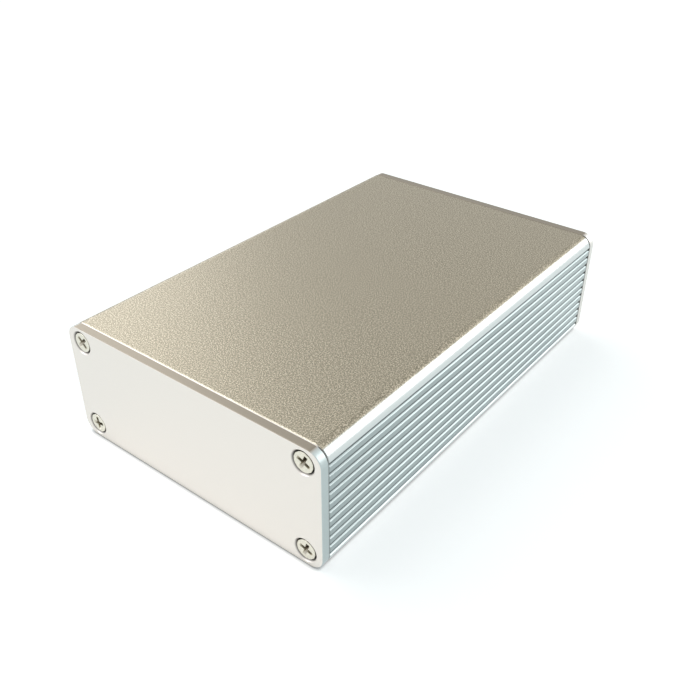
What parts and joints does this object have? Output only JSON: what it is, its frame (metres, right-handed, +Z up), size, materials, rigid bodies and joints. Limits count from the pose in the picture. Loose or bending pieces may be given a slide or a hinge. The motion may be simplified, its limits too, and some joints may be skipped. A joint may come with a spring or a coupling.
{
  "type": "extruded instrument enclosure",
  "caption": "Small extruded aluminium instrument case with ribbed sides, board slots, screw ports and flat end panels held by countersunk screws",
  "frame": {"origin": "middle of the footprint, on the surface that the case stands on", "axes": "X across the width, Y along the extrusion with the front panel facing -Y, Z up through the thickness"},
  "size_m": [0.066, 0.104, 0.027],
  "materials": {
    "extrusion": "blasted and anodised, pale champagne",
    "panel": "fine matte anodised, warm silver",
    "screw": "nickel plated"
  },
  "bodies": {
    "root": {"extruded_body": "extrusion", "front_panel": "panel", "front_screw_lower_left": "screw", "front_screw_lower_right": "screw", "front_screw_upper_left": "screw", "front_screw_upper_right": "screw", "rear_panel": "panel", "rear_screw_lower_left": "screw", "rear_screw_lower_right": "screw", "rear_screw_upper_left": "screw", "rear_screw_upper_right": "screw"}
  },
  "joints": []
}
